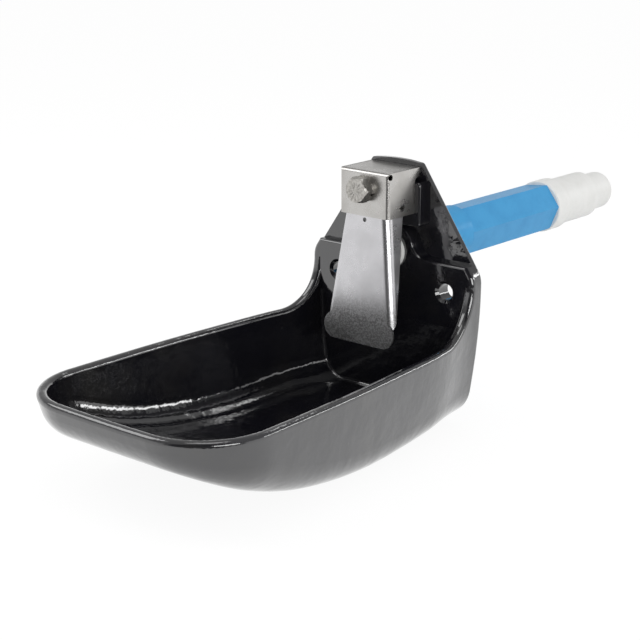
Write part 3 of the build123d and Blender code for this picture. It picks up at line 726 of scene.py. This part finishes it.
@dataclass
class ValveHousing(SubAssembly):
    """The white housing behind the wall, its nut, cap, seat, seals and threaded inlet."""

    title: str = "valve housing"
    inlet_centre: Triple = (-0.0283187, 0.232, 0.0123916)
    inlet_axis: Triple = (-0.9135455, 0.0, -0.4067366)
    thread_radius: float = 0.00915
    thread_height: float = 0.0007
    thread_pitch: float = 0.0018
    thread_from: float = -0.0080
    thread_to: float = 0.0036
    thread_steps: int = 40
    crest_sides: int = 6

    def build(self, white: bpy.types.Material, rubber: bpy.types.Material, brass: bpy.types.Material) -> None:
        """Dresses the housing and cuts the inlet's thread.

        Args:
            white: The finish of the plastic pieces.
            rubber: The finish of the seals.
            brass: The finish of the seat and the insert.
        """
        self.dressed = {"union_nut": white, "valve_housing": white, "end_cap": white, "pipe_seal": rubber,
                        "cap_seal": rubber, "spindle_seal": rubber, "valve_seat": brass, "inlet_insert": brass}
        self.dress()
        thread = self.inlet_thread(brass)
        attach(thread, "bowl")
        LOG.info("%s: inlet thread with %d faces", self.title, len(thread.data.polygons))

    def thread_tree(self, brass: bpy.types.Material) -> bpy.types.NodeTree:
        """The tree that winds one thread crest along a helix.

        Args:
            brass: The thread's finish.

        Returns:
            A geometry node tree with Radius, Pitch, Turns and Height as its inputs.
        """
        tree = bpy.data.node_groups.new("inlet_thread", "GeometryNodeTree")
        for name in ("Radius", "Pitch", "Turns", "Height"):
            tree.interface.new_socket(name, in_out="INPUT", socket_type="NodeSocketFloat")
        tree.interface.new_socket("Mesh", in_out="OUTPUT", socket_type="NodeSocketGeometry")
        values = tree.nodes.new("NodeGroupInput").outputs
        helix = tree.nodes.new("GeometryNodeCurveSpiral")
        helix.inputs["Resolution"].default_value = self.thread_steps
        rise = tree.nodes.new("ShaderNodeMath")
        rise.operation = "MULTIPLY"
        profile = tree.nodes.new("GeometryNodeCurvePrimitiveCircle")
        profile.inputs["Resolution"].default_value = self.crest_sides
        sweep = tree.nodes.new("GeometryNodeCurveToMesh")
        sweep.inputs["Fill Caps"].default_value = True
        realize = tree.nodes.new("GeometryNodeRealizeInstances")
        finish = tree.nodes.new("GeometryNodeSetMaterial")
        finish.inputs["Material"].default_value = brass
        out = tree.nodes.new("NodeGroupOutput")
        for start, end in ((values["Radius"], helix.inputs["Start Radius"]),
                           (values["Radius"], helix.inputs["End Radius"]),
                           (values["Turns"], helix.inputs["Rotations"]),
                           (values["Pitch"], rise.inputs[0]), (values["Turns"], rise.inputs[1]),
                           (rise.outputs[0], helix.inputs["Height"]),
                           (values["Height"], profile.inputs["Radius"]),
                           (helix.outputs["Curve"], sweep.inputs["Curve"]),
                           (profile.outputs["Curve"], sweep.inputs["Profile Curve"]),
                           (sweep.outputs["Mesh"], realize.inputs["Geometry"]),
                           (realize.outputs["Geometry"], finish.inputs["Geometry"]),
                           (finish.outputs["Geometry"], out.inputs[0])):
            tree.links.new(start, end)
        return tree

    def inlet_thread(self, brass: bpy.types.Material) -> bpy.types.Object:
        """The pipe thread in the brass insert.

        Args:
            brass: The thread's finish.

        Returns:
            The thread as a plain mesh in its place.
        """
        tree = self.thread_tree(brass)
        carrier = new_object("thread_carrier", bpy.data.meshes.new("thread_carrier"))
        modifier = carrier.modifiers.new("thread", "NODES")
        modifier.node_group = tree
        sizes = {"Radius": self.thread_radius, "Pitch": self.thread_pitch, "Height": self.thread_height,
                 "Turns": (self.thread_to - self.thread_from) / self.thread_pitch}
        for item in tree.interface.items_tree:
            if item.in_out == "INPUT":
                modifier[item.identifier] = sizes[item.name]
        ready = carrier.evaluated_get(bpy.context.evaluated_depsgraph_get())
        mesh = bpy.data.meshes.new_from_object(ready)
        bpy.data.objects.remove(carrier)
        out = Vector(self.inlet_axis)
        place = out.to_track_quat("Z", "Y").to_matrix().to_4x4()
        start = Vector(self.inlet_centre) + out * self.thread_from
        mesh.transform(Matrix.Translation(start) @ place)
        return new_object("inlet_thread", mesh)


@dataclass
class RodAndValve(SubAssembly):
    """The push rod with its button, nut, disc and plunger, the spring and the clip."""

    title: str = "rod and valve"
    rod: TurnedMetal = TurnedMetal("rod_steel", (0.58, 0.575, 0.57), (0.45, 0.44, 0.43), (0.14, 0.26),
                                   rings=1400.0)
    spring: TurnedMetal = TurnedMetal("spring_steel", (0.46, 0.455, 0.45), (0.30, 0.29, 0.28), (0.18, 0.3))
    spring_fixed_end: Triple = (0.0, 0.278, 0.025)
    spring_length: float = 0.0615
    rod_travel: float = 0.0064

    def build(self, nylon: bpy.types.Material, rubber: bpy.types.Material, brass: bpy.types.Material) -> None:
        """Dresses the rod's pieces and puts a copy of the spring in place of the solid one.

        Args:
            nylon: The finish of the button.
            rubber: The finish of the valve's disc.
            brass: The finish of the plunger.
        """
        rod, spring = self.rod.material(), self.spring.material()
        self.dressed = {"push_rod": rod, "button_lock_nut": rod, "push_button": nylon, "valve_disc": rubber,
                        "valve_plunger": brass, "retaining_clip": spring, "valve_spring": spring}
        self.dress()
        coil = self.coil_spring(spring)
        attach(coil, "bowl")
        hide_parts("valve_spring")
        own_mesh(coil)
        LOG.info("%s: coil spring with %d faces", self.title, len(coil.data.polygons))

    def coil_spring(self, finish: bpy.types.Material) -> bpy.types.Object:
        """Copies the valve's spring into an object of its own, while the solid stays as it is.

        Args:
            finish: The spring's steel.

        Returns:
            The coil.
        """
        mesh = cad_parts["valve_spring"].data.copy()
        mesh.materials.clear()
        mesh.materials.append(finish)
        return new_object("coil_spring", mesh)


# ---------------------------------------------------------------- studio
@dataclass
class SoftBox:
    """One soft lamp: a lit rectangle that faces a point."""

    name: str
    azimuth: float
    elevation: float
    distance: float
    size: Pair
    radiance: float
    aim: Triple = (0.0, -0.10, -0.02)

    def build(self) -> None:
        """Builds the lamp. Azimuth 0 stands in front of the bowl and 90 on its right."""
        angle, rise = math.radians(self.azimuth), math.radians(self.elevation)
        out = Vector((math.sin(angle) * math.cos(rise), -math.cos(angle) * math.cos(rise), math.sin(rise)))
        data = bpy.data.lights.new(self.name, "AREA")
        data.shape = "RECTANGLE"
        data.size, data.size_y = self.size
        data.energy = self.radiance * math.pi * self.size[0] * self.size[1]
        lamp = new_object(self.name, data)
        lamp.location = Vector(self.aim) + out * self.distance
        lamp.rotation_euler = out.to_track_quat("Z", "Y").to_euler()


@dataclass
class Studio:
    """Floor, lamps, surroundings and camera."""

    floor_gap: float = 0.0006
    floor_back: float = 6.0
    floor_front: float = 0.43
    floor_colour: Triple = (0.82, 0.82, 0.82)
    floor_share: float = 0.86
    floor_glow: float = 1.07
    wall_fade: Pair = (0.10, 0.36)
    ceiling_level: float = 0.40
    room_fade: Pair = (0.45, 0.75)
    room_level: float = 0.10
    fill_level: float = 0.55
    camera_at: Triple = (0.7921, -1.0059, 0.3407)
    camera_yaw: float = 41.04
    camera_pitch: float = 16.36
    camera_roll: float = -0.07
    lens: float = 94.77
    sensor: float = 36.0
    clip: Pair = (0.05, 50.0)
    lamps: tuple[SoftBox, ...] = (
        SoftBox("key", 64.0, 9.0, 1.4, (0.8, 0.6), 4.8),
        SoftBox("fill", -62.0, 44.0, 1.6, (1.0, 0.8), 2.4),
        SoftBox("strip_high", 186.0, 50.0, 1.3, (0.6, 0.06), 2.6),
        SoftBox("strip_low", 141.0, 17.0, 1.5, (1.4, 0.14), 6.5),
        SoftBox("top", 20.0, 80.0, 1.6, (0.7, 0.7), 1.8),
    )

    def build(self) -> None:
        """Builds the whole studio."""
        self.build_floor()
        for lamp in self.lamps:
            lamp.build()
            LOG.info("studio: lamp %s", lamp.name)
        self.build_world()
        self.build_camera()
        bpy.context.scene.view_settings.view_transform = "Standard"

    def build_floor(self) -> None:
        """A pale floor under the bowl that ends in front of it, towards the camera."""
        angle = math.radians(self.camera_yaw)
        towards = Vector((math.sin(angle), -math.cos(angle), 0.0))
        across = Vector((math.cos(angle), math.sin(angle), 0.0))
        height = Vector((0.0, 0.0, CAD_BOX[0].z - self.floor_gap))
        wide = across * self.floor_back
        corners = [height + towards * self.floor_front - wide, height + towards * self.floor_front + wide,
                   height - towards * self.floor_back + wide, height - towards * self.floor_back - wide]
        mesh = bpy.data.meshes.new("floor")
        mesh.from_pydata([tuple(corner) for corner in corners], [], [(0, 1, 2, 3)])
        floor = new_object("floor", mesh)
        mesh.materials.append(self.floor_finish())

    def floor_finish(self) -> bpy.types.Material:
        """White paper that takes the shadow and runs into the white background."""
        material, tree = new_material("floor_paper")
        paper = tree.node("ShaderNodeBsdfDiffuse")
        paper.inputs["Color"].default_value = (*self.floor_colour, 1.0)
        glow = tree.node("ShaderNodeEmission")
        glow.inputs["Color"].default_value = (1.0, 1.0, 1.0, 1.0)
        ray = tree.node("ShaderNodeLightPath")
        seen = tree.sums("MAXIMUM", ray.outputs["Is Camera Ray"],
                         tree.sums("MAXIMUM", ray.outputs["Is Glossy Ray"], ray.outputs["Is Transmission Ray"]))
        tree.feed(glow.inputs["Strength"], tree.sums("MULTIPLY", seen, self.floor_glow))
        share = tree.node("ShaderNodeMixShader")
        tree.feed(share.inputs["Fac"], tree.sums("MULTIPLY", seen, self.floor_share))
        tree.feed(share.inputs[1], paper.outputs[0])
        tree.feed(share.inputs[2], glow.outputs[0])
        output = tree.node("ShaderNodeOutputMaterial")
        tree.feed(output.inputs["Surface"], share.outputs[0])
        return material

    def build_world(self) -> None:
        """White backdrop all round the bowl, under a dark ceiling; the room in front is dim."""
        world = bpy.data.worlds.new("studio")
        world.use_nodes = True
        bpy.context.scene.world = world
        tree = Tree(world.node_tree)
        axes = tree.axes(tree.node("ShaderNodeTexCoord").outputs["Generated"])
        wall = tree.spread(axes["Z"], self.wall_fade, (1.0, self.ceiling_level))
        angle = math.radians(self.camera_yaw)
        ahead = tree.sums("ADD", tree.sums("MULTIPLY", axes["X"], math.sin(angle)),
                          tree.sums("MULTIPLY", axes["Y"], -math.cos(angle)))
        room = tree.spread(ahead, self.room_fade, (1.0, self.room_level))
        mirrored = tree.sums("MULTIPLY", wall, room)
        ray = tree.node("ShaderNodeLightPath")
        glossy = tree.sums("MAXIMUM", ray.outputs["Is Glossy Ray"], ray.outputs["Is Transmission Ray"])
        level = tree.sums("ADD", tree.sums("MULTIPLY", mirrored, glossy),
                          tree.sums("MULTIPLY", tree.sums("SUBTRACT", 1.0, glossy), self.fill_level))
        seen = ray.outputs["Is Camera Ray"]
        level = tree.sums("ADD", tree.sums("MULTIPLY", level, tree.sums("SUBTRACT", 1.0, seen)), seen)
        back = tree.node("ShaderNodeBackground")
        back.inputs["Color"].default_value = (1.0, 1.0, 1.0, 1.0)
        tree.feed(back.inputs["Strength"], level)
        output = tree.node("ShaderNodeOutputWorld")
        tree.feed(output.inputs["Surface"], back.outputs[0])

    def build_camera(self) -> None:
        """A long lens, from the right and a little above."""
        turns = (self.camera_yaw, self.camera_pitch, self.camera_roll)
        yaw, pitch, roll = (math.radians(value) for value in turns)
        back = Vector((math.sin(yaw) * math.cos(pitch), -math.cos(yaw) * math.cos(pitch), math.sin(pitch)))
        right = Vector((math.cos(yaw), math.sin(yaw), 0.0))
        up = back.cross(right)
        side = right * math.cos(roll) + up * math.sin(roll)
        top = up * math.cos(roll) - right * math.sin(roll)
        data = bpy.data.cameras.new("camera")
        data.lens, data.sensor_width = self.lens, self.sensor
        data.clip_start, data.clip_end = self.clip
        camera = new_object("camera", data)
        turn = Matrix((side, top, back)).transposed()
        camera.matrix_world = Matrix.Translation(Vector(self.camera_at)) @ turn.to_4x4()
        bpy.context.scene.camera = camera


def main() -> None:
    """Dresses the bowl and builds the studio."""
    logging.basicConfig(level=logging.INFO, format="%(name)s %(message)s")
    white = MouldedPlastic("white_plastic", (0.80, 0.80, 0.785), (0.74, 0.74, 0.72), (0.32, 0.5)).material()
    nylon = MouldedPlastic("nylon", (0.66, 0.65, 0.60), (0.55, 0.54, 0.49), (0.35, 0.5)).material()
    rubber = SealRubber().material()
    brass = TurnedMetal("brass", (0.72, 0.50, 0.22), (0.50, 0.32, 0.13), (0.2, 0.36), rings=1200.0).material()
    BowlAndPlate().build()
    HoodAndBolt().build()
    Tongue().build(nylon)
    PipeAndSleeve().build(white, rubber)
    ValveHousing().build(white, rubber, brass)
    RodAndValve().build(nylon, rubber, brass)
    Studio().build()


if __name__ == "__main__":
    main()
